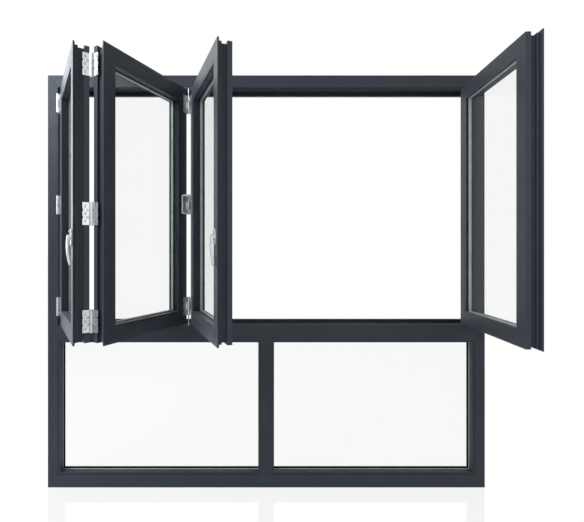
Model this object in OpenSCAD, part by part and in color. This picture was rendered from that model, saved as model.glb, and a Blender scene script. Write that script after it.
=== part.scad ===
// Folding window: two fixed lights below a transom and four hinged sashes above it.
// Three sashes fold against the left jamb and one swings against the right jamb.
// X runs right as seen from the room, Y runs from the room outward and Z runs up.
// The origin is the middle of the underside of the sill.

/* [Frame] */
// Overall width of the outer frame
frame_w = 2200; // [1900:10:2600]
// Overall height of the outer frame
frame_h = 2075; // [1900:5:2400]
// Depth of the outer frame from the room face to the weather face
frame_d = 80; // [80:1:100]
// Width of the room face of each jamb
jamb_face = 50; // [46:1:60]
// Height of the room face of the head
head_face = 60; // [50:1:70]
// Height of the room face of the sill
sill_face = 64; // [54:1:70]
// Height of the underside of the transom above the origin
transom_z = 742; // [600:1:850]
// Height of the room face of the transom
transom_face = 74; // [60:1:80]
// How far the stop behind the sashes reaches into the opening
stop_in = 20; // [14:1:26]
// Width of the room face of the mullion between the fixed lights
mullion_face = 53; // [46:1:60]

/* [Fixed lights] */
// Width of the glazing bead that shows round each fixed light
fixed_bead_w = 12; // [10:1:16]
// Depth from the room face of the frame to the fixed glass
fixed_recess = 26; // [20:1:28]

/* [Sashes] */
// Thickness of each sash
sash_t = 62; // [60:1:70]
// Width of a stile from the sash edge to its inner sight line
stile_face = 60; // [58:1:72]
// Height of a rail from the sash edge to its inner sight line
rail_face = 74; // [64:1:84]
// Gap between neighbouring sashes and between sash and frame
joint_gap = 5; // [4:0.5:8]
// Depth of the front bead, from the sash face to the glass
bead_depth = 31; // [28:1:32]
// Thickness of the sealed glass unit
glass_t = 23; // [20:1:24]

/* [Pose] */
// Angle between the two folding sashes, measured between their hinge lines
fold_angle = 76.6; // [60:0.2:110]
// Angle that the lead sash has swung from the plane of the frame
lead_turn = 69.8; // [55:0.2:80]
// Angle that the right sash has swung from the plane of the frame
swing_turn = 86.4; // [60:0.2:92]

/* [Hinges] */
// Height of each hinge
hinge_h = 90; // [70:2:120]
// Height of the middle of the lowest hinges above the bottom of the sash
hinge_low = 92; // [80:1:140]
// Height of the middle of the middle hinges at the jambs and at the track line
hinge_mid = 600; // [500:2:680]
// Height of the middle of the middle hinge of the fold
fold_mid = 518; // [420:2:680]
// Distance of the middle of the highest hinges below the top of the sash
hinge_high = 80; // [70:1:140]
// Radius of a hinge knuckle
knuckle_r = 7.5; // [6:0.5:9]
// Radius of a hinge pin
pin_r = 3.5; // [2.5:0.5:4.5]
// Distance of a hinge pin in front of the sash face
pin_stand = 10; // [9.5:0.5:14]
// Distance of the jamb pins from the jamb's inner face
jamb_pin_in = 6; // [4:1:12]
// Depth of the track line behind the room face of the frame
track_line = 10; // [9:1:22]

/* [Handles] */
// Height of the handle plates above the bottom of the sash
handle_z = 425; // [300:5:600]
// Length of the handle lever
lever_l = 105; // [80:1:140]
// Height of the D shaped pull
grip_h = 98; // [84:2:120]

/* [Hidden] */
$fn = 48;

graphite = [0.22, 0.24, 0.28];
rubber_black = [0.05, 0.05, 0.06];
clear_glass = [0.80, 0.88, 0.90, 0.45];
silver = [0.78, 0.79, 0.80];

cut = 1;

// Frame places, all from the driving sizes
front_y = -frame_d / 2;
back_y = frame_d / 2;
half_w = frame_w / 2;
inner_x = half_w - jamb_face;
head_z = frame_h - head_face;
transom_top = transom_z + transom_face;
opening_w = 2 * inner_x;
opening_h = head_z - transom_top;

// The stop that the closed sashes shut against, and the seal on its face
stop_root = 2;
seal_t = 1.8;
seal_gap = 0.2;
stop_depth = sash_t + seal_gap + seal_t;
seal_in = stop_in / 2;

// Fixed lights
fixed_glass_t = 24;
fixed_gasket_t = 3;
fixed_groove = 10;
fixed_play = 3;
fixed_bead_set = 2;
fixed_gasket_in = 1.5;

// Anchor holes through the jambs, between the fixed glass and the stop
fixing_r = 4.5;
fixing_clear = 1;
fixing_depth = fixed_recess + fixed_glass_t + fixed_gasket_t + fixing_clear + fixing_r;
fixing_end = 200;
fixing_under = 150;
fixing_over = 250;
fixing_low = [fixing_end, transom_z - fixing_under];
fixing_high = [transom_top + fixing_over, head_z - fixing_over];

// Four equal sashes fill the opening with five gaps
sash_h = opening_h - 2 * joint_gap;
sash_z = transom_top + joint_gap;
sash_w = (opening_w - 5 * joint_gap) / 4;

// Sash section: depths from the room face, and how far each step lies inside the edge
lip_t = 4;
slope_in = 3;
shoulder_from = 8;
shoulder_to = 20;
groove_to = 42;
shoulder_in = 10;
groove_in = 16;
back_in = 6;
bead_w = 14;
bead_set = 0.8;
bead_skin = 1.6;
gasket_t = 3;
gasket_lip = 2;
back_lip_t = sash_t - bead_depth - glass_t - gasket_t;
back_lip_y = sash_t - back_lip_t;
glass_play = 3;
wall_t = 3;
chamber_in = groove_in + wall_t;
web_y = sash_t / 2;
web_t = 5;

// Hinges
hinge_levels = [hinge_low, hinge_mid, sash_h - hinge_high];
fold_levels = [hinge_low, fold_mid, sash_h - hinge_high];
knuckle_ends = [-hinge_h / 2, -hinge_h / 5, hinge_h / 5, hinge_h / 2];
leaf_t = 3;
leaf_w = 24;
edge_leaf_w = 33;
scallop_r = 6;
scallop_in = 3;
knuckle_gap = 0.6;
pin_play = 0.2;
screw_r = 2.6;
screw_in = 9;
pin_head_r = 5;
pin_head_h = 2;

// Pin places, seen from above, and the turn of each sash about its pin
jamb_reach = joint_gap - jamb_pin_in;
joint_reach = joint_gap / 2;
pin_sink = 1;
pin_behind = knuckle_r - pin_sink;
apex_play = 3;
apex_in = back_in - leaf_t - apex_play;
left_pin = [-inner_x + jamb_pin_in, front_y - pin_stand];
right_pin = [inner_x - jamb_pin_in, front_y - pin_stand];
rise = pin_stand + track_line;
arm_front = pin_stand + sash_t + pin_behind;
arm_1 = [sash_w + jamb_reach - apex_in, arm_front];
arm_2 = [sash_w + joint_reach - apex_in, arm_front];
reach_1 = norm(arm_1);
reach_2 = norm(arm_2);
base = sqrt(reach_1 * reach_1 + reach_2 * reach_2 - 2 * reach_1 * reach_2 * cos(fold_angle));
tilt = asin(rise / base);
track_pin = [left_pin[0] + base * cos(tilt), front_y + track_line];
corner_1 = acos((reach_1 * reach_1 + base * base - reach_2 * reach_2) / (2 * reach_1 * base));
corner_2 = acos((reach_2 * reach_2 + base * base - reach_1 * reach_1) / (2 * reach_2 * base));
turn_1 = corner_1 - tilt + atan(arm_1[1] / arm_1[0]);
turn_2 = corner_2 + tilt + atan(arm_2[1] / arm_2[0]);
apex = left_pin + reach_1 * [cos(corner_1 - tilt), -sin(corner_1 - tilt)];
sash_pin = [left_pin, track_pin, track_pin, right_pin];
sash_turn = [-turn_1, turn_2, -lead_turn, swing_turn];
sash_reach = [jamb_reach, joint_reach, joint_reach, jamb_reach];

// Handles
plate_w = 28;
plate_h = 66;
plate_t = 5;
handle_inset = 30;
collar_r = 12.5;
collar_l = 2;
hub_r = 10;
hub_sink = 2;
button_r = 5;
button_l = 5;
button_up = 22;
lever_w = 20;
lever_tip_w = 14;
lever_t = 7;
lever_out = 20;
bow_r = 300;
bow_low = 35;

// D shaped pull
grip_w = 9;
grip_out = 52;
grip_bar = 7;
grip_off = 1;
grip_round = 10;
grip_plate_t = 2.5;

// Track and carriers
track_w = 28;
track_h = 14;
track_wall = 3;
slot_play = 1;
slot_w = 2 * (pin_r + slot_play);
track_y = front_y + track_line - slot_w / 2 - track_wall;
slot_h = 9;
runner_play = 1;
runner_w = slot_w - 2 * slot_play;
runner_l = 46;
carrier_lap = 2;

// A box from one corner to another
module box(a, b) {
    translate(a) cube(b - a);
}

// A rectangular ring seen from the front, lying between the depths y0 and y1
module ring(w, h, out, in_x, in_z, y0, y1) {
    difference() {
        box([out, y0, out], [w - out, y1, h - out]);
        box([in_x, y0 - cut, in_z], [w - in_x, y1 + cut, h - in_z]);
    }
}

// A prism through the depth of a member, from an outline in x and z
module through(points, depth) {
    translate([0, depth + cut, 0])
        rotate([90, 0, 0])
            linear_extrude(depth + 2 * cut)
                polygon(points);
}

// The first and third sashes have their pins at the left
function hangs_left(n) = n == 0 || n == 2;

// Puts its children, drawn on a closed sash, where the open sash stands
module on_sash(n) {
    across = hangs_left(n) ? sash_reach[n] : -sash_w - sash_reach[n];
    translate([sash_pin[n][0], sash_pin[n][1], sash_z])
        rotate([0, 0, sash_turn[n]])
            translate([across, pin_stand, 0])
                children();
}

// Section of a sash member: how far in from the sash edge, and the depth from the room face
function sash_section(face) = [
    [0, 0], [0, lip_t], [slope_in, shoulder_from], [shoulder_in, shoulder_from],
    [shoulder_in, shoulder_to], [groove_in, shoulder_to], [groove_in, groove_to],
    [back_in, groove_to], [back_in, sash_t], [face + gasket_lip, sash_t],
    [face + gasket_lip, back_lip_y], [face - bead_w, back_lip_y], [face - bead_w, 0]
];

// Extruded sash member with a room side and a weather side chamber
module sash_profile(face, length) {
    chamber_w = face - bead_w - wall_t - chamber_in;
    linear_extrude(length)
        difference() {
            polygon(sash_section(face));
            translate([chamber_in, wall_t])
                square([chamber_w, web_y - web_t / 2 - wall_t]);
            translate([chamber_in, web_y + web_t / 2])
                square([chamber_w, back_lip_y - wall_t - web_y - web_t / 2]);
        }
}

// The line of a mitred corner: it runs through the corners of the section's steps
function mitre_line() = [
    [0, 0], [chamber_in, chamber_in], [stile_face - bead_w - wall_t, rail_face - bead_w - wall_t],
    [stile_face + gasket_lip, rail_face + gasket_lip]
];

function stile_outline() =
    let (m = mitre_line())
    concat(m, [for (i = [3 : -1 : 0]) [m[i][0], sash_h - m[i][1]]]);

function rail_outline() =
    let (m = mitre_line())
    concat(m, [for (i = [3 : -1 : 0]) [sash_w - m[i][0], m[i][1]]]);

// One mitred stile of a sash; the hinge stile is on the pin side
module sash_stile(n, hinge_side) {
    left = hangs_left(n) == hinge_side;
    color(graphite)
        on_sash(n)
            translate([left ? 0 : sash_w, 0, 0])
                mirror([left ? 0 : 1, 0, 0])
                    intersection() {
                        sash_profile(stile_face, sash_h);
                        through(stile_outline(), sash_t);
                    }
}

// One mitred rail of a sash
module sash_rail(n, top) {
    color(graphite)
        on_sash(n)
            translate([0, 0, top ? sash_h : 0])
                mirror([0, 0, top ? 1 : 0])
                    intersection() {
                        mirror([1, 0, 0])
                            rotate([0, -90, 0])
                                sash_profile(rail_face, sash_w);
                        through(rail_outline(), sash_t);
                    }
}

// The sealed glass unit of a sash
module sash_glass(n) {
    edge_x = stile_face - bead_w + glass_play;
    edge_z = rail_face - bead_w + glass_play;
    color(clear_glass)
        on_sash(n)
            box([edge_x, bead_depth, edge_z],
                [sash_w - edge_x, bead_depth + glass_t, sash_h - edge_z]);
}

// The glazing bead of a sash, a hollow ring on the room side of the glass
module sash_bead(n) {
    out_x = stile_face - bead_w;
    out_z = rail_face - bead_w;
    w = sash_w - 2 * out_x;
    h = sash_h - 2 * out_z;
    back = bead_depth - gasket_t;
    color(graphite)
        on_sash(n)
            translate([out_x, 0, out_z])
                difference() {
                    ring(w, h, 0, bead_w, bead_w, bead_set, back);
                    ring(w, h, bead_skin, bead_w - bead_skin, bead_w - bead_skin,
                         bead_set + bead_skin, back - bead_skin);
                }
}

// The rubber seals of one sash, on both sides of the glass
module sash_gasket(n) {
    w = sash_w;
    out_x = stile_face - bead_w + glass_play;
    out_z = rail_face - bead_w + glass_play;
    in_x = stile_face + gasket_lip - out_x;
    in_z = rail_face + gasket_lip - out_z;
    on_sash(n)
        translate([out_x, 0, out_z]) {
            ring(w - 2 * out_x, sash_h - 2 * out_z, 0, in_x, in_z, bead_depth - gasket_t, bead_depth);
            ring(w - 2 * out_x, sash_h - 2 * out_z, 0, in_x, in_z,
                 bead_depth + glass_t, bead_depth + glass_t + gasket_t);
        }
}

module sash_glazing_gaskets() {
    color(rubber_black)
        for (n = [0 : 3])
            sash_gasket(n);
}

// Daylight edges of a fixed light, as [left, bottom, right, top]
function fixed_light(left) =
    left ? [-inner_x, sill_face, -mullion_face / 2, transom_z]
         : [mullion_face / 2, sill_face, inner_x, transom_z];

// A ring inside a fixed light's opening, between two depths from the room face
module light_ring(light, out, face, y0, y1) {
    w = light[2] - light[0] + 2 * out;
    h = light[3] - light[1] + 2 * out;
    translate([light[0] - out, front_y, light[1] - out])
        ring(w, h, 0, face + out, face + out, y0, y1);
}

// The pocket that a fixed light's glass and seals fill in the frame round it
module light_pocket(light) {
    y0 = fixed_recess - fixed_gasket_t;
    y1 = fixed_recess + fixed_glass_t + fixed_gasket_t;
    box([light[0] - fixed_groove, front_y + y0, light[1] - fixed_groove],
        [light[2] + fixed_groove, front_y + y1, light[3] + fixed_groove]);
}

module light_pockets() {
    light_pocket(fixed_light(true));
    light_pocket(fixed_light(false));
}

// The two sealed units of the fixed lights
module fixed_glass() {
    edge = fixed_groove - fixed_play;
    color(clear_glass)
        for (light = [fixed_light(true), fixed_light(false)])
            box([light[0] - edge, front_y + fixed_recess, light[1] - edge],
                [light[2] + edge, front_y + fixed_recess + fixed_glass_t, light[3] + edge]);
}

module fixed_glazing_beads() {
    color(graphite)
        for (left = [true, false])
            light_ring(fixed_light(left), 0, fixed_bead_w, fixed_bead_set, fixed_recess - fixed_gasket_t);
}

module fixed_glazing_gaskets() {
    back = fixed_recess + fixed_glass_t;
    face = fixed_bead_w + fixed_gasket_in;
    color(rubber_black)
        for (light = [fixed_light(true), fixed_light(false)]) {
            light_ring(light, fixed_groove, face, fixed_recess - fixed_gasket_t, fixed_recess);
            light_ring(light, fixed_groove, face, back, back + fixed_gasket_t);
        }
}

// The outer frame's corner joints run from the outer corner to the inner one
function jamb_outline(left) =
    let (s = left ? -1 : 1)
    [[s * half_w, 0], [s * inner_x, sill_face], [s * inner_x, head_z], [s * half_w, frame_h]];

module jamb(left) {
    s = left ? -1 : 1;
    color(graphite)
        difference() {
            union() {
                translate([0, front_y, 0])
                    rotate([90, 0, 0])
                        mirror([0, 0, 1])
                            linear_extrude(frame_d)
                                polygon(jamb_outline(left));
                jamb_stop(s);
            }
            light_pockets();
            jamb_chamber(s);
            fixing_holes(s);
        }
}

// The stop of a jamb, rooted in it, between the stops of the transom and the head
module jamb_stop(s) {
    x0 = s > 0 ? inner_x - stop_in : -inner_x - stop_root;
    box([x0, front_y + stop_depth, transom_top + stop_in],
        [x0 + stop_in + stop_root, back_y, head_z - stop_in]);
}

// The hollow of a jamb, open at the mitred ends
module jamb_chamber(s) {
    far = half_w - wall_t;
    near = inner_x + fixed_groove + wall_t;
    x0 = s > 0 ? near : -far;
    x1 = s > 0 ? far : -near;
    box([x0, front_y + wall_t, -cut], [x1, back_y - wall_t, frame_h + cut]);
}

// Holes right through a jamb for the anchors that hold the window in the wall
module fixing_holes(s) {
    for (z = concat(fixing_low, fixing_high))
        translate([s * (inner_x - cut), front_y + fixing_depth, z])
            rotate([0, s * 90, 0])
                cylinder(r = fixing_r, h = jamb_face + 2 * cut);
}

// A mitred head or sill, from its outer height to its inner one
module frame_rail(z_out, z_in) {
    translate([0, front_y, 0])
        rotate([90, 0, 0])
            mirror([0, 0, 1])
                linear_extrude(frame_d)
                    polygon([[-half_w, z_out], [-inner_x, z_in], [inner_x, z_in], [half_w, z_out]]);
}

// The hollow of a head or sill, open at the mitred ends
module rail_chamber(z0, z1) {
    box([-half_w, front_y + wall_t, z0], [half_w, back_y - wall_t, z1]);
}

// A stop across the opening, between two heights
module cross_stop(z0, z1) {
    box([-inner_x, front_y + stop_depth, z0], [inner_x, back_y, z1]);
}

module head() {
    color(graphite)
        difference() {
            union() {
                frame_rail(frame_h, head_z);
                cross_stop(head_z - stop_in, head_z + stop_root);
            }
            rail_chamber(head_z + track_h + wall_t, frame_h - wall_t);
            track_bed();
        }
}

module sill() {
    color(graphite)
        difference() {
            frame_rail(0, sill_face);
            light_pockets();
            rail_chamber(wall_t, sill_face - fixed_groove - wall_t);
        }
}

module transom() {
    low = transom_z + fixed_groove + wall_t;
    high = transom_top - track_h - wall_t;
    color(graphite)
        difference() {
            union() {
                box([-inner_x, front_y, transom_z], [inner_x, back_y, transom_top]);
                cross_stop(transom_top - stop_root, transom_top + stop_in);
            }
            light_pockets();
            box([-inner_x - cut, front_y + wall_t, low], [inner_x + cut, back_y - wall_t, high]);
            track_bed();
        }
}

module mullion() {
    side = mullion_face / 2;
    core = side - fixed_groove - wall_t;
    color(graphite)
        difference() {
            box([-side, front_y, sill_face], [side, back_y, transom_z]);
            light_pockets();
            box([-core, front_y + wall_t, sill_face - cut], [core, back_y - wall_t, transom_z + cut]);
        }
}

// The rebates in the head and the transom that take the two track rails
module track_bed() {
    box([-inner_x - cut, track_y, head_z - cut], [inner_x + cut, track_y + track_w, head_z + track_h]);
    box([-inner_x - cut, track_y, transom_top - track_h],
        [inner_x + cut, track_y + track_w, transom_top + cut]);
}

// A track rail with a slot for the carriers
module track_rail(z0, slot_z) {
    color(rubber_black)
        difference() {
            box([-inner_x, track_y, z0], [inner_x, track_y + track_w, z0 + track_h]);
            box([-inner_x - cut, track_y + track_wall, slot_z],
                [inner_x + cut, track_y + track_wall + slot_w, slot_z + slot_h + cut]);
        }
}

module track_rails() {
    track_rail(head_z, head_z - cut);
    track_rail(transom_top - track_h, transom_top - slot_h);
}

// The carriers: a runner in each track and the pin that joins it to the track hinges
module track_carriers() {
    runner_h = slot_h - 2 * runner_play;
    color(silver)
        for (top = [true, false]) {
            z0 = top ? head_z + runner_play : transom_top - runner_play - runner_h;
            pin_0 = top ? sash_z + hinge_levels[2] + hinge_h / 2 + pin_head_h : transom_top - carrier_lap;
            pin_1 = top ? head_z + carrier_lap : sash_z + hinge_levels[0] - hinge_h / 2 - pin_head_h;
            box([track_pin[0] - runner_l / 2, track_pin[1] - runner_w / 2, z0],
                [track_pin[0] + runner_l / 2, track_pin[1] + runner_w / 2, z0 + runner_h]);
            translate([track_pin[0], track_pin[1], pin_0])
                cylinder(r = pin_r, h = pin_1 - pin_0);
        }
}

// The rubber seal on the face of the stop, right round the opening
module stop_seals() {
    color(rubber_black)
        translate([-inner_x, front_y + stop_depth - seal_t, transom_top])
            ring(opening_w, opening_h, stop_in - seal_in, stop_in, stop_in, 0, seal_t);
}

// One knuckle about the pin axis: the outer two belong to one leaf, the middle one to the other
module knuckle(i) {
    z0 = knuckle_ends[i] + (i > 0 ? knuckle_gap / 2 : 0);
    z1 = knuckle_ends[i + 1] - (i < 2 ? knuckle_gap / 2 : 0);
    translate([0, 0, z0])
        cylinder(r = knuckle_r, h = z1 - z0);
}

// The plate of a leaf along +x, scalloped between its screws and cut away at the other leaf's knuckles
module leaf_plate(others, y, width) {
    difference() {
        box([0, y, -hinge_h / 2], [width, y + leaf_t, hinge_h / 2]);
        for (i = others)
            box([-cut, y - cut, knuckle_ends[i] - knuckle_gap],
                [knuckle_r + knuckle_gap, y + leaf_t + cut, knuckle_ends[i + 1] + knuckle_gap]);
        for (z = [-hinge_h / 6, hinge_h / 6])
            translate([width + scallop_r - scallop_in, y - cut, z])
                rotate([-90, 0, 0])
                    cylinder(r = scallop_r, h = leaf_t + 2 * cut);
        for (z = [-hinge_h / 3, 0, hinge_h / 3])
            translate([width - screw_in, y - cut, z])
                rotate([-90, 0, 0])
                    cylinder(r = screw_r, h = leaf_t + 2 * cut, $fn = 24);
    }
}

// A leaf with its knuckles and the bore for the pin, its plate at the distance y from the pin
module leaf(outer, y, width, side) {
    mirror([side > 0 ? 0 : 1, 0, 0])
        difference() {
            union() {
                for (i = outer ? [0, 2] : [1])
                    knuckle(i);
                leaf_plate(outer ? [1] : [0, 2], y, width);
            }
            translate([0, 0, -hinge_h])
                cylinder(r = pin_r + pin_play, h = 2 * hinge_h);
        }
}

// Leaf on the room face of a sash
module face_leaf(n, outer) {
    for (level = hinge_levels)
        translate([sash_pin[n][0], sash_pin[n][1], sash_z + level])
            rotate([0, 0, sash_turn[n]])
                leaf(outer, pin_stand - leaf_t, leaf_w + knuckle_r, hangs_left(n) ? 1 : -1);
}

// Leaf that wraps onto the reveal of a jamb
module jamb_leaf(left) {
    pin = left ? left_pin : right_pin;
    for (level = hinge_levels)
        translate([pin[0], pin[1], sash_z + level])
            rotate([0, 0, left ? 90 : -90])
                leaf(false, jamb_pin_in - leaf_t, leaf_w + pin_stand, left ? 1 : -1);
}

module left_jamb_hinges() {
    color(silver) {
        face_leaf(0, true);
        jamb_leaf(true);
    }
}

module right_jamb_hinges() {
    color(silver) {
        face_leaf(3, true);
        jamb_leaf(false);
    }
}

module track_hinges() {
    color(silver) {
        face_leaf(1, true);
        face_leaf(2, false);
    }
}

// Leaf on the edge of a folding sash, beside the pin of the fold
module edge_leaf(n, outer) {
    side = hangs_left(n) ? -1 : 1;
    for (level = fold_levels)
        translate([apex[0], apex[1], sash_z + level])
            rotate([0, 0, sash_turn[n] - 90 * side])
                leaf(outer, back_in - apex_in - leaf_t, edge_leaf_w, side);
}

module fold_hinges() {
    color(silver) {
        edge_leaf(0, true);
        edge_leaf(1, false);
    }
}

module hinge_pin(place, levels) {
    for (level = levels)
        translate([place[0], place[1], sash_z + level - hinge_h / 2]) {
            cylinder(r = pin_r, h = hinge_h);
            translate([0, 0, -pin_head_h])
                cylinder(r = pin_head_r, h = pin_head_h);
            translate([0, 0, hinge_h])
                cylinder(r = pin_head_r, h = pin_head_h);
        }
}

module hinge_pins() {
    color(silver) {
        for (place = [left_pin, track_pin, right_pin])
            hinge_pin(place, hinge_levels);
        hinge_pin(apex, fold_levels);
    }
}

// A block that stands out from a face, with its two outer corners rounded
module d_solid(h, out, width, r) {
    for (z = [r - h / 2, h / 2 - r])
        translate([0, r - out, z])
            rotate([0, 90, 0])
                cylinder(r = r, h = width);
    box([0, -out, r - h / 2], [width, 0, h / 2 - r]);
    box([0, r - out, -h / 2], [width, 0, h / 2]);
}

// A D shaped pull on the lead sash, beside its middle track hinge
module pull_grip() {
    color(silver)
        on_sash(2)
            translate([leaf_w + knuckle_r + grip_off, 0, hinge_mid]) {
                difference() {
                    d_solid(grip_h, grip_out, grip_w, grip_round);
                    translate([-cut, 0, 0])
                        d_solid(grip_h - 2 * grip_bar, grip_out - grip_bar, grip_w + 2 * cut,
                                grip_round - grip_bar);
                }
                box([0, -grip_plate_t, -grip_h / 2], [grip_w, 0, grip_h / 2]);
            }
}

// Where a handle sits on a sash with its pins at the left
module at_handle(n) {
    on_sash(n)
        translate([sash_w - handle_inset, 0, handle_z])
            rotate([90, 0, 0])
                children();
}

// A bar with round ends, standing up from its flat back
module round_bar(w0, w1, y0, y1, t) {
    translate([0, y0, 0])
        cylinder(r = w0 / 2, h = t);
    translate([0, y1, 0])
        cylinder(r = w1 / 2, h = t);
    linear_extrude(t)
        polygon([[-w0 / 2, y0], [w0 / 2, y0], [w1 / 2, y1], [-w1 / 2, y1]]);
}

// The plate of a handle, with the collar of its lever and a lock button above it
module handle_plates() {
    straight = (plate_h - plate_w) / 2;
    color(silver)
        for (n = [0, 2])
            at_handle(n) {
                round_bar(plate_w, plate_w, -straight, straight, plate_t);
                cylinder(r = collar_r, h = plate_t + collar_l);
                translate([0, button_up, 0])
                    cylinder(r = button_r, h = plate_t + button_l);
            }
}

// A hoop about an axis across the handle, which gives the lever its bow
module lever_hoop() {
    translate([-lever_w, -bow_low, lever_out - bow_r])
        rotate([0, 90, 0])
            difference() {
                cylinder(r = bow_r, h = 2 * lever_w, $fn = 180);
                translate([0, 0, -cut])
                    cylinder(r = bow_r - lever_t, h = 2 * lever_w + 2 * cut, $fn = 180);
            }
}

// The hub under a lever, from the collar to just inside the bow
module lever_hub() {
    foot = plate_t + collar_l;
    translate([0, 0, foot])
        cylinder(r = hub_r, h = lever_out - lever_t + hub_sink - foot);
}

module handle_levers() {
    color(silver)
        for (n = [0, 2])
            at_handle(n) {
                intersection() {
                    round_bar(lever_w, lever_tip_w, 0, -lever_l, lever_out + cut);
                    lever_hoop();
                }
                lever_hub();
            }
}

module left_jamb() {
    jamb(true);
}

module right_jamb() {
    jamb(false);
}

left_jamb();
right_jamb();
head();
sill();
transom();
mullion();
fixed_glass();
fixed_glazing_beads();
fixed_glazing_gaskets();
for (n = [0 : 3]) {
    name = str("sash_", n + 1, "_");
    sash_stile(n, true);
    sash_stile(n, false);
    sash_rail(n, true);
    sash_rail(n, false);
    sash_glass(n);
    sash_bead(n);
}
sash_glazing_gaskets();
left_jamb_hinges();
fold_hinges();
track_hinges();
right_jamb_hinges();
hinge_pins();
pull_grip();
handle_plates();
handle_levers();
track_rails();
track_carriers();
stop_seals();
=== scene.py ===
import math

import bmesh
import bpy
from mathutils import Matrix, Vector

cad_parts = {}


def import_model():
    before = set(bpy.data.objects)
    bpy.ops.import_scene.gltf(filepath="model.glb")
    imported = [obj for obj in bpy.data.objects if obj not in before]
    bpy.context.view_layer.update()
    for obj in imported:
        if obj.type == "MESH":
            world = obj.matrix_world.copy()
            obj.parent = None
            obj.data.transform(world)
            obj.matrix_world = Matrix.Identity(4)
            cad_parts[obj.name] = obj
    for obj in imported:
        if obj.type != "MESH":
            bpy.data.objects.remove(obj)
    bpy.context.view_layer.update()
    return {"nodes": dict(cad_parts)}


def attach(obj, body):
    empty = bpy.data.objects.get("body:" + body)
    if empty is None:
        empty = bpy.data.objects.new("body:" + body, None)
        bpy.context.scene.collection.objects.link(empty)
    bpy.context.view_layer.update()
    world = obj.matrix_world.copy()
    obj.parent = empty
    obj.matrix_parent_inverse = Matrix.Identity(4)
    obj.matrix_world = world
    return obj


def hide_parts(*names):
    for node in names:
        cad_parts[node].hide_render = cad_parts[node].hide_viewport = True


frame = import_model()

# Folding window: materials for the CAD frame, sealed glass units, screws, stage, lights and camera.
# All sizes are in metres. X runs right, Y runs outward from the room and Z runs up.

NODES = frame["nodes"]
BODY = "root"
IMAGE_W, IMAGE_H = 584, 522

# Camera: focal length and principal point in pixels of the picture, place in metres
FOCAL_PX = 386.5
CENTRE_X, CENTRE_Y = 252.3, 250.25
SENSOR_MM = 36.0
CAMERA_PLACE = (-0.0707, -1.9856, 1.1943)
CLIP_NEAR, CLIP_FAR = 0.05, 100.0

# Sizes shared with the CAD model
FRONT_Y = -0.040
INNER_X = 1.050
SASH_W, SASH_H, SASH_Z, SASH_T = 0.51875, 1.189, 0.821, 0.062
JOINT_GAP, PIN_STAND, JAMB_PIN_IN, TRACK_LINE = 0.005, 0.010, 0.006, 0.010
KNUCKLE_R, BACK_IN, LEAF_T, APEX_PLAY, PIN_SINK = 0.0075, 0.006, 0.003, 0.003, 0.001
FOLD_ANGLE, LEAD_TURN, SWING_TURN = 76.6, 69.8, 86.4
HINGE_H, HINGE_LOW, HINGE_MID, FOLD_MID, HINGE_HIGH = 0.090, 0.092, 0.600, 0.518, 0.080
LEAF_W, EDGE_LEAF_W, SCREW_IN = 0.024, 0.033, 0.009

# Screw heads: radius, height and depth of the star's arms for each ring from the rim inward
SCREW_RINGS = (
    (0.0054, 0.0, 0.0),
    (0.0045, 0.0001, 0.0),
    (0.0040, 0.0007, 0.0),
    (0.0034, 0.0010, 0.0),
    (0.0034, 0.0010, 0.0006),
    (0.0026, -0.0008, 0.0006),
)
# Bands drawn in the dark recess material: a painted shadow on the rim and painted shade down into the star
# recess
SCREW_SHADE_BANDS = (0, 4)
SCREW_STEPS = 12
SCREW_LIFT = 0.00005

# Small rounded edges
PROFILE_ROUND, HANDLE_ROUND = 0.0007, 0.0018
WELD_REACH = 0.00001
SHARP_ANGLE = math.radians(35)

# Sealed glass units
PANE_T = 0.005
PANE_ARRIS = 0.0006
SPACER_IN = 0.0085
SPACER_H = 0.0065
SPACER_PLAY = 0.0002

# Colours and surfaces
GRAPHITE = (0.0178, 0.0204, 0.0250)
GRAPHITE_LIGHT = (0.0204, 0.0246, 0.0330)
RUBBER = (0.008, 0.008, 0.009)
SILVER = (0.60, 0.61, 0.63)
DARK_ALUMINIUM = (0.020, 0.021, 0.025)
SPACER_GREY = (0.34, 0.37, 0.38)
# Near-black metal of the screw recesses and rims: painted shade
RECESS_SHADE = (0.03, 0.03, 0.032)
COAT_ROUGHNESS = (0.38, 0.50)
COAT_SPECULAR = 0.18
COAT_SHEEN, COAT_SHEEN_ROUGHNESS = 0.16, 0.35
COAT_SHEEN_TINT = (0.86, 0.93, 1.0)
GLASS_TINT = (0.957, 0.960, 0.958)
GLASS_IOR = 1.03
GLASS_SHEEN = 0.07
GLASS_SHADOW = (0.86, 0.88, 0.87)
# Rays that have passed more glass faces than this end in a painted pale white glow, before they run out of
# bounces
DEEPEST_FACE = 7.5
DEEP_GLOW_WHITE = (0.90, 0.91, 0.90)

# Stage: the floor shows white to the camera and in reflections, and is matt for the light on the object
FLOOR_SIZE, FLOOR_DROP = 240.0, 0.0012
FLOOR_WHITE = 0.9
FLOOR_GLOW, GLOW_SHARE = 1.09, 0.93
FLOOR_MIRROR, FLOOR_ROUGHNESS = 0.16, 0.04
STUDIO_COLOUR, STUDIO_STRENGTH = (0.94, 0.97, 1.0), 0.49

# Lamps: name, place, aim, size, power, colour
LAMPS = (
    ("soft_key", (-2.3, -1.9, 3.1), (-0.9, -0.2, 1.6), (1.5, 1.5), 106.0, (0.88, 0.95, 1.0)),
    ("left_sheen", (-2.6, 0.5, 2.2), (-0.8, -0.3, 1.5), (2.4, 2.4), 60.0, (0.86, 0.94, 1.0)),
    ("soft_fill", (2.4, -3.6, 2.2), (0.2, 0, 1.0), (2.0, 2.4), 18.0, (1.0, 0.98, 0.96)),
    ("back_wash", (0.5, 3.4, 3.2), (0, 0, 1.2), (3.0, 2.0), 24.0, (1.0, 1.0, 1.0)),
)
NOT_MIRRORED = "back_wash"


# Node helpers

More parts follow.
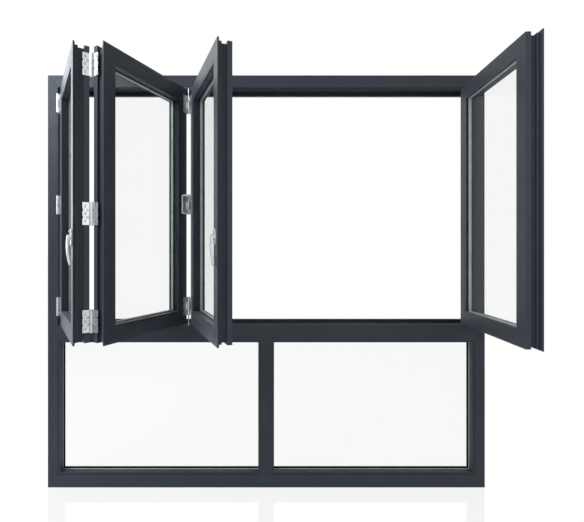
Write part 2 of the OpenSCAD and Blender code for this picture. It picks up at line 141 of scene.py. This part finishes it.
def new_material(name):
    mat = bpy.data.materials.new(name)
    mat.use_nodes = True
    tree = mat.node_tree
    tree.nodes.clear()
    out = tree.nodes.new("ShaderNodeOutputMaterial")
    shader = tree.nodes.new("ShaderNodeBsdfPrincipled")
    tree.links.new(shader.outputs["BSDF"], out.inputs["Surface"])
    return mat, tree, shader, out


def coords(tree, stretch=(1, 1, 1)):
    place = tree.nodes.new("ShaderNodeTexCoord")
    mapping = tree.nodes.new("ShaderNodeMapping")
    mapping.inputs["Scale"].default_value = stretch
    tree.links.new(place.outputs["Object"], mapping.inputs["Vector"])
    return mapping.outputs["Vector"]


def noise(tree, vector, scale, detail=3.0, roughness=0.55):
    n = tree.nodes.new("ShaderNodeTexNoise")
    n.inputs["Scale"].default_value = scale
    n.inputs["Detail"].default_value = detail
    n.inputs["Roughness"].default_value = roughness
    tree.links.new(vector, n.inputs["Vector"])
    return n.outputs["Fac"]


def spread(tree, value, low, high, new_low, new_high):
    """Maps low to high onto new_low to new_high, cut off at both ends."""
    m = tree.nodes.new("ShaderNodeMapRange")
    m.inputs["From Min"].default_value = low
    m.inputs["From Max"].default_value = high
    m.inputs["To Min"].default_value = new_low
    m.inputs["To Max"].default_value = new_high
    tree.links.new(value, m.inputs["Value"])
    return m.outputs["Result"]


def cloud(tree, where, scale, new_low, new_high, detail=3.0):
    """Noise spread over new_low to new_high."""
    return spread(tree, noise(tree, where, scale, detail), 0.3, 0.7, new_low, new_high)


def scaled(colour, times):
    """A lighter or darker tone of a colour."""
    return tuple(min(1.0, c * times) for c in colour)


def blend_colours(tree, factor, a, b):
    """Colour a at factor 0 and b at 1, each a tuple or a socket."""
    mix = tree.nodes.new("ShaderNodeMix")
    mix.data_type = "RGBA"
    tree.links.new(factor, mix.inputs["Factor"])
    for socket, value in ((mix.inputs[6], a), (mix.inputs[7], b)):
        if isinstance(value, tuple):
            socket.default_value = (*value, 1.0)
        else:
            tree.links.new(value, socket)
    return mix.outputs[2]


def bump(tree, shader, height, strength, distance):
    b = tree.nodes.new("ShaderNodeBump")
    b.inputs["Strength"].default_value = strength
    b.inputs["Distance"].default_value = distance
    tree.links.new(height, b.inputs["Height"])
    tree.links.new(b.outputs["Normal"], shader.inputs["Normal"])


# Materials

def powder_coat():
    """Satin powder coat: soft colour drift, fine grain, a painted highlight along the edges and a cool
    sheen.
    """
    mat, tree, shader, _ = new_material("graphite_coat")
    where = coords(tree)
    drift = spread(tree, noise(tree, where, 2.6, 2.0), 0.35, 0.65, 0.0, 1.0)
    grain = cloud(tree, where, 620.0, 0.0, 0.35, detail=2.0)
    point = tree.nodes.new("ShaderNodeNewGeometry").outputs["Pointiness"]
    # Pointiness lightens the base colour along the edges: a painted highlight
    painted_edge_highlight = spread(tree, point, 0.53, 0.60, 0.0, 0.35)
    tone = blend_colours(tree, drift, GRAPHITE, GRAPHITE_LIGHT)
    tone = blend_colours(tree, grain, tone, scaled(GRAPHITE_LIGHT, 1.7))
    tone = blend_colours(tree, painted_edge_highlight, tone, scaled(GRAPHITE_LIGHT, 3.2))
    tree.links.new(tone, shader.inputs["Base Color"])
    tree.links.new(cloud(tree, where, 16.0, *COAT_ROUGHNESS, detail=4.0), shader.inputs["Roughness"])
    shader.inputs["Specular IOR Level"].default_value = COAT_SPECULAR
    shader.inputs["Sheen Weight"].default_value = COAT_SHEEN
    shader.inputs["Sheen Roughness"].default_value = COAT_SHEEN_ROUGHNESS
    shader.inputs["Sheen Tint"].default_value = (*COAT_SHEEN_TINT, 1.0)
    bump(tree, shader, noise(tree, where, 900.0), strength=0.12, distance=0.0003)
    return mat


def seal_rubber():
    """Black seal: cloudy, matt and finely grained."""
    mat, tree, shader, _ = new_material("black_seal")
    where = coords(tree)
    tone = blend_colours(tree, cloud(tree, where, 30.0, 0.0, 1.0), RUBBER, scaled(RUBBER, 1.8))
    tree.links.new(tone, shader.inputs["Base Color"])
    tree.links.new(cloud(tree, where, 90.0, 0.52, 0.72), shader.inputs["Roughness"])
    shader.inputs["Specular IOR Level"].default_value = 0.25
    bump(tree, shader, noise(tree, where, 1400.0), strength=0.2, distance=0.0002)
    return mat


def satin_metal(name, colour, roughness, stretch=(1, 1, 1), metallic=1.0):
    """Cast or brushed hardware: fine streaks, cloudy roughness, darker worn patches."""
    mat, tree, shader, _ = new_material(name)
    where = coords(tree, stretch)
    worn = cloud(tree, coords(tree), 45.0, 0.0, 1.0, detail=4.0)
    tone = blend_colours(tree, worn, colour, scaled(colour, 0.78))
    tree.links.new(tone, shader.inputs["Base Color"])
    shader.inputs["Metallic"].default_value = metallic
    tree.links.new(cloud(tree, where, 260.0, *roughness, detail=4.0), shader.inputs["Roughness"])
    bump(tree, shader, noise(tree, where, 700.0), strength=0.15, distance=0.0002)
    return mat


def clear_glass():
    """Float glass: a faint green cast and slight waviness. Shadow rays pass and deep rays end in a painted
    white glow.
    """
    mat, tree, shader, out = new_material("clear_glass")
    where = coords(tree)
    shader.inputs["Base Color"].default_value = (*GLASS_TINT, 1.0)
    shader.inputs["Transmission Weight"].default_value = 1.0
    shader.inputs["IOR"].default_value = GLASS_IOR
    shader.inputs["Coat Weight"].default_value = GLASS_SHEEN
    shader.inputs["Coat Roughness"].default_value = 0.01
    shader.inputs["Coat IOR"].default_value = 1.5
    tree.links.new(cloud(tree, where, 7.0, 0.0, 0.004), shader.inputs["Roughness"])
    bump(tree, shader, noise(tree, where, 1.6, 1.0), strength=0.004, distance=0.001)
    path = tree.nodes.new("ShaderNodeLightPath")
    clear = tree.nodes.new("ShaderNodeBsdfTransparent")
    clear.inputs["Color"].default_value = (*GLASS_SHADOW, 1.0)
    mix = tree.nodes.new("ShaderNodeMixShader")
    tree.links.new(path.outputs["Is Shadow Ray"], mix.inputs["Fac"])
    tree.links.new(shader.outputs["BSDF"], mix.inputs[1])
    tree.links.new(clear.outputs["BSDF"], mix.inputs[2])
    deep = tree.nodes.new("ShaderNodeMath")
    deep.operation = "GREATER_THAN"
    deep.inputs[1].default_value = DEEPEST_FACE
    tree.links.new(path.outputs["Transmission Depth"], deep.inputs[0])
    # Painted light: the glass glows pale white for the deepest rays
    glow = tree.nodes.new("ShaderNodeEmission")
    glow.inputs["Color"].default_value = (*DEEP_GLOW_WHITE, 1.0)
    ends = tree.nodes.new("ShaderNodeMixShader")
    tree.links.new(deep.outputs[0], ends.inputs["Fac"])
    tree.links.new(mix.outputs["Shader"], ends.inputs[1])
    tree.links.new(glow.outputs["Emission"], ends.inputs[2])
    tree.links.new(ends.outputs["Shader"], out.inputs["Surface"])
    return mat


# Surfaces of the CAD nodes

def smooth_round(obj, width, segments):
    """Small rounded edges on a CAD node, as modifiers."""
    weld = obj.modifiers.new("weld", "WELD")
    weld.merge_threshold = WELD_REACH
    edge = obj.modifiers.new("edges", "BEVEL")
    edge.width = width
    edge.segments = segments
    edge.limit_method = "ANGLE"
    edge.angle_limit = SHARP_ANGLE
    edge.use_clamp_overlap = True


def shade(mesh):
    """Smooth shading, with sharp edges kept."""
    mesh.polygons.foreach_set("use_smooth", [True] * len(mesh.polygons))
    mesh.set_sharp_from_angle(angle=SHARP_ANGLE)


def dress_nodes(mats):
    """Gives each CAD node its material, and smooth shading or rounded edges where it needs them."""
    for name, obj in NODES.items():
        obj.data.materials.clear()
        if name.endswith("glass"):
            obj.data.materials.append(mats["glass"])
        elif "gasket" in name or name == "stop_seals":
            obj.data.materials.append(mats["rubber"])
        elif name == "track_rails":
            obj.data.materials.append(mats["track"])
        elif any(word in name for word in ("hinges", "pins", "carriers")):
            obj.data.materials.append(mats["hinge"])
            shade(obj.data)
        elif "handle" in name or "grip" in name:
            obj.data.materials.append(mats["handle"])
            shade(obj.data)
            smooth_round(obj, HANDLE_ROUND, 3)
        else:
            obj.data.materials.append(mats["graphite"])
            smooth_round(obj, PROFILE_ROUND, 2)
        obj.data.update()


# Mesh helpers

def finish_piece(name, bm, mat):
    """Turns the built mesh into a named piece that rides the body."""
    mesh = bpy.data.meshes.new(name)
    bmesh.ops.recalc_face_normals(bm, faces=bm.faces)
    bm.to_mesh(mesh)
    bm.free()
    mesh.materials.append(mat)
    obj = bpy.data.objects.new(name, mesh)
    bpy.context.scene.collection.objects.link(obj)
    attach(obj, BODY)
    return obj


def add_block(bm, corner, u, v, a, b, arris=0.0):
    """A box between the local corners a and b, in the axes u, v and Z from corner."""
    verts = []
    for z in (a[2], b[2]):
        for s, t in ((a[0], a[1]), (b[0], a[1]), (b[0], b[1]), (a[0], b[1])):
            verts.append(bm.verts.new(corner + u * s + v * t + Vector((0, 0, z))))
    quads = ((0, 1, 2, 3), (4, 5, 6, 7), (0, 1, 5, 4), (1, 2, 6, 5), (2, 3, 7, 6), (3, 0, 4, 7))
    faces = [bm.faces.new([verts[i] for i in q]) for q in quads]
    if arris:
        edges = list({e for f in faces for e in f.edges})
        bmesh.ops.bevel(bm, geom=edges, offset=arris, segments=1, affect="EDGES")


def add_loop(bm, corner, u, v, size, inset, bar, t0, t1):
    """A rectangular ring with mitred corners, inset from the unit's edge."""
    w, h = size
    rings = []
    for d, t in ((inset, t0), (inset + bar, t0), (inset + bar, t1), (inset, t1)):
        ring = [(d, d), (w - d, d), (w - d, h - d), (d, h - d)]
        rings.append([bm.verts.new(corner + u * x + v * t + Vector((0, 0, z))) for x, z in ring])
    for i in range(4):
        a, b = rings[i], rings[(i + 1) % 4]
        for j in range(4):
            k = (j + 1) % 4
            bm.faces.new((a[j], a[k], b[k], b[j]))


def block_axes(points):
    """Corner, width axis, depth axis and sizes of an upright block, from its vertices."""
    plan = sorted({(round(p.x, 5), round(p.y, 5)) for p in points})
    base = Vector((*plan[0], min(p.z for p in points)))
    others = sorted((Vector((*q, base.z)) - base for q in plan[1:]), key=lambda d: d.length)
    depth, width = others[0], others[1]
    height = max(p.z for p in points) - base.z
    return base, width.normalized(), depth.normalized(), width.length, depth.length, height


def glass_unit(name, points, mats, node=None):
    """Two panes, a spacer bar and the black edge seal behind it."""
    corner, u, v, w, t, h = block_axes(points)
    bm = bmesh.new()
    add_block(bm, corner, u, v, (0, 0, 0), (w, PANE_T, h), PANE_ARRIS)
    add_block(bm, corner, u, v, (0, t - PANE_T, 0), (w, t, h), PANE_ARRIS)
    panes = finish_piece(name + "_panes", bm, mats["glass"])
    if node:
        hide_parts(node)
    bm = bmesh.new()
    t0, t1 = PANE_T + SPACER_PLAY, t - PANE_T - SPACER_PLAY
    add_loop(bm, corner, u, v, (w, h), SPACER_IN, SPACER_H, t0, t1)
    finish_piece(name + "_spacer", bm, mats["spacer"])
    bm = bmesh.new()
    add_loop(bm, corner, u, v, (w, h), SPACER_PLAY, SPACER_IN - 2 * SPACER_PLAY, t0, t1)
    finish_piece(name + "_edge_seal", bm, mats["rubber"])
    return panes


def glass_units(mats):
    """Units in place of the glass nodes of the sashes and of the two fixed lights."""
    for n in range(1, 5):
        node = f"sash_{n}_glass"
        glass_unit(f"sash_{n}", [p.co for p in NODES[node].data.vertices], mats, node)
    points = [p.co for p in NODES["fixed_glass"].data.vertices]
    left = glass_unit("left_light", [p for p in points if p.x < 0], mats)
    glass_unit("right_light", [p for p in points if p.x > 0], mats)
    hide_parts("fixed_glass")


# Hinge screws

def pin_places():
    """Pins and turns of the sashes, solved from the pin lines as the CAD model does."""
    apex_in = BACK_IN - LEAF_T - APEX_PLAY
    arm = PIN_STAND + SASH_T + KNUCKLE_R - PIN_SINK
    jamb_reach, joint_reach = JOINT_GAP - JAMB_PIN_IN, JOINT_GAP / 2
    a1 = (SASH_W + jamb_reach - apex_in, arm)
    a2 = (SASH_W + joint_reach - apex_in, arm)
    r1, r2 = math.hypot(*a1), math.hypot(*a2)
    base = math.sqrt(r1 ** 2 + r2 ** 2 - 2 * r1 * r2 * math.cos(math.radians(FOLD_ANGLE)))
    tilt = math.asin((PIN_STAND + TRACK_LINE) / base)
    c1 = math.acos((r1 ** 2 + base ** 2 - r2 ** 2) / (2 * r1 * base))
    c2 = math.acos((r2 ** 2 + base ** 2 - r1 ** 2) / (2 * r2 * base))
    turn_1 = c1 - tilt + math.atan2(a1[1], a1[0])
    turn_2 = c2 + tilt + math.atan2(a2[1], a2[0])
    left = Vector((-INNER_X + JAMB_PIN_IN, FRONT_Y - PIN_STAND, 0))
    right = Vector((INNER_X - JAMB_PIN_IN, FRONT_Y - PIN_STAND, 0))
    track = Vector((left.x + base * math.cos(tilt), FRONT_Y + TRACK_LINE, 0))
    apex = left + r1 * Vector((math.cos(c1 - tilt), -math.sin(c1 - tilt), 0))
    turns = (-turn_1, turn_2, -math.radians(LEAD_TURN), math.radians(SWING_TURN))
    return left, track, right, apex, turns, apex_in


def leaves():
    """Each hinge leaf: pin, turn, distance of the plate from the pin, width, side and levels."""
    usual = (HINGE_LOW, HINGE_MID, SASH_H - HINGE_HIGH)
    fold = (HINGE_LOW, FOLD_MID, SASH_H - HINGE_HIGH)
    left, track, right, apex, turns, apex_in = pin_places()
    quarter = math.pi / 2
    face_y, face_w = PIN_STAND - LEAF_T, LEAF_W + KNUCKLE_R
    jamb_y, jamb_w = JAMB_PIN_IN - LEAF_T, LEAF_W + PIN_STAND
    edge_y = BACK_IN - apex_in - LEAF_T
    return [
        (left, turns[0], face_y, face_w, 1, usual),
        (track, turns[1], face_y, face_w, -1, usual),
        (track, turns[2], face_y, face_w, 1, usual),
        (right, turns[3], face_y, face_w, -1, usual),
        (left, quarter, jamb_y, jamb_w, 1, usual),
        (right, -quarter, jamb_y, jamb_w, -1, usual),
        (apex, turns[0] + quarter, edge_y, EDGE_LEAF_W, -1, fold),
        (apex, turns[1] - quarter, edge_y, EDGE_LEAF_W, 1, fold),
    ]


def add_screw(bm, place, axis, cross):
    """A raised countersunk head with painted shade in the star recess and a painted shadow on the rim. axis
    points out of the leaf.
    """
    side = axis.cross(cross)
    rings = []
    for radius, out, arms in SCREW_RINGS:
        ring = []
        for i in range(SCREW_STEPS):
            a = 2 * math.pi * i / SCREW_STEPS
            r = radius - (arms if i % 2 else 0.0)
            ring.append(bm.verts.new(place + (cross * math.cos(a) + side * math.sin(a)) * r + axis * out))
        rings.append(ring)
    for band, (a, b) in enumerate(zip(rings, rings[1:])):
        for i in range(SCREW_STEPS):
            j = (i + 1) % SCREW_STEPS
            face = bm.faces.new((a[i], a[j], b[j], b[i]))
            # The rim band, the recess wall and the recess floor take the second material: painted shade
            face.material_index = int(band in SCREW_SHADE_BANDS)
    bm.faces.new(rings[-1]).material_index = 1
    bm.faces.new(list(reversed(rings[0])))


def hinge_screws(mats):
    """Five screws a leaf: three near its edge and two between them, further in."""
    bm = bmesh.new()
    rows = [(SCREW_IN, step / 3) for step in (-1, 0, 1)]
    rows += [(2 * SCREW_IN, step / 6) for step in (-1, 1)]
    for pin, turn, y, width, side, levels in leaves():
        spin = Matrix.Rotation(turn, 3, "Z")
        axis = spin @ Vector((0, -1, 0))
        cross = (spin @ Vector((1, 0, 0)) + Vector((0, 0, 1))).normalized()
        for level in levels:
            for inset, step in rows:
                local = spin @ Vector((side * (width - inset), y, 0))
                place = pin + local + Vector((0, 0, SASH_Z + level + step * HINGE_H))
                add_screw(bm, place + axis * SCREW_LIFT, axis, cross)
    screws = finish_piece("hinge_screws", bm, mats["hinge"])
    # Second material: painted shade in the screw recesses and on their rims
    screws.data.materials.append(mats["recess"])


# Stage, lights and camera

def stage():
    """Pale floor that keeps the shadow and mirrors the object faintly."""
    bpy.ops.mesh.primitive_plane_add(size=FLOOR_SIZE, location=(0, 0, -FLOOR_DROP))
    floor = bpy.context.object
    floor.name = "floor"
    mat = bpy.data.materials.new("floor_white")
    mat.use_nodes = True
    tree = mat.node_tree
    tree.nodes.clear()
    out = tree.nodes.new("ShaderNodeOutputMaterial")
    matt = tree.nodes.new("ShaderNodeBsdfDiffuse")
    matt.inputs["Color"].default_value = (FLOOR_WHITE, FLOOR_WHITE, FLOOR_WHITE, 1)
    glow = tree.nodes.new("ShaderNodeEmission")
    glow.inputs["Color"].default_value = (1, 1, 1, 1)
    glow.inputs["Strength"].default_value = FLOOR_GLOW
    gloss = tree.nodes.new("ShaderNodeBsdfGlossy")
    gloss.inputs["Roughness"].default_value = FLOOR_ROUGHNESS
    share = tree.nodes.new("ShaderNodeMath")
    share.operation = "MULTIPLY"
    share.inputs[1].default_value = GLOW_SHARE
    tree.links.new(camera_like(tree), share.inputs[0])
    white = tree.nodes.new("ShaderNodeMixShader")
    tree.links.new(share.outputs[0], white.inputs["Fac"])
    tree.links.new(matt.outputs[0], white.inputs[1])
    tree.links.new(glow.outputs[0], white.inputs[2])
    sheen = tree.nodes.new("ShaderNodeMixShader")
    sheen.inputs["Fac"].default_value = FLOOR_MIRROR
    tree.links.new(white.outputs[0], sheen.inputs[1])
    tree.links.new(gloss.outputs[0], sheen.inputs[2])
    tree.links.new(sheen.outputs[0], out.inputs["Surface"])
    floor.data.materials.append(mat)


def camera_like(tree):
    """1 on camera, glossy and transmission rays, 0 on the rays that light the object."""
    path = tree.nodes.new("ShaderNodeLightPath")
    value = path.outputs["Is Camera Ray"]
    for name in ("Is Glossy Ray", "Is Transmission Ray"):
        top = tree.nodes.new("ShaderNodeMath")
        top.operation = "MAXIMUM"
        tree.links.new(value, top.inputs[0])
        tree.links.new(path.outputs[name], top.inputs[1])
        value = top.outputs[0]
    return value


def world():
    """Plain studio light on the object, pure white behind it."""
    w = bpy.data.worlds.new("studio")
    bpy.context.scene.world = w
    w.use_nodes = True
    tree = w.node_tree
    tree.nodes.clear()
    out = tree.nodes.new("ShaderNodeOutputWorld")
    lit = tree.nodes.new("ShaderNodeBackground")
    lit.inputs["Color"].default_value = (*STUDIO_COLOUR, 1)
    lit.inputs["Strength"].default_value = STUDIO_STRENGTH
    white = tree.nodes.new("ShaderNodeBackground")
    white.inputs["Color"].default_value = (1, 1, 1, 1)
    white.inputs["Strength"].default_value = 1.0
    mix = tree.nodes.new("ShaderNodeMixShader")
    tree.links.new(camera_like(tree), mix.inputs["Fac"])
    tree.links.new(lit.outputs[0], mix.inputs[1])
    tree.links.new(white.outputs[0], mix.inputs[2])
    tree.links.new(mix.outputs[0], out.inputs["Surface"])


def area_light(name, place, aim, size, power, colour):
    data = bpy.data.lights.new(name, "AREA")
    data.shape = "RECTANGLE"
    data.size, data.size_y = size
    data.energy = power
    data.color = colour
    lamp = bpy.data.objects.new(name, data)
    bpy.context.scene.collection.objects.link(lamp)
    lamp.location = place
    lamp.rotation_euler = (Vector(aim) - Vector(place)).to_track_quat("-Z", "Y").to_euler()
    lamp.visible_transmission = False
    lamp.visible_glossy = name != NOT_MIRRORED


def camera():
    """The fitted camera, level and square to the frame."""
    data = bpy.data.cameras.new("camera")
    data.sensor_width = SENSOR_MM
    data.lens = SENSOR_MM * FOCAL_PX / IMAGE_W
    data.shift_x = (IMAGE_W / 2 - CENTRE_X) / IMAGE_W
    data.shift_y = -(IMAGE_H / 2 - CENTRE_Y) / IMAGE_W
    data.clip_start, data.clip_end = CLIP_NEAR, CLIP_FAR
    cam = bpy.data.objects.new("camera", data)
    bpy.context.scene.collection.objects.link(cam)
    cam.location = CAMERA_PLACE
    cam.rotation_euler = (math.radians(90), 0, 0)
    bpy.context.scene.camera = cam


def main():
    mats = {
        "graphite": powder_coat(),
        "rubber": seal_rubber(),
        "glass": clear_glass(),
        "hinge": satin_metal("hinge_metal", SILVER, (0.22, 0.40), stretch=(1, 1, 0.15)),
        "handle": satin_metal("handle_metal", SILVER, (0.24, 0.36), stretch=(1, 1, 0.1)),
        "track": satin_metal("dark_track", DARK_ALUMINIUM, (0.30, 0.45), stretch=(0.1, 1, 1), metallic=0.6),
        "spacer": satin_metal("spacer_bar", SPACER_GREY, (0.45, 0.60), stretch=(1, 1, 0.2), metallic=0.35),
        # Painted shade for the screw recesses and rims
        "recess": satin_metal("screw_recess_shade", RECESS_SHADE, (0.4, 0.6), metallic=0.5),
    }
    dress_nodes(mats)
    glass_units(mats)
    hinge_screws(mats)
    camera()
    world()
    for lamp in LAMPS:
        area_light(*lamp)
    stage()
    bpy.context.scene.view_settings.view_transform = "Standard"


main()
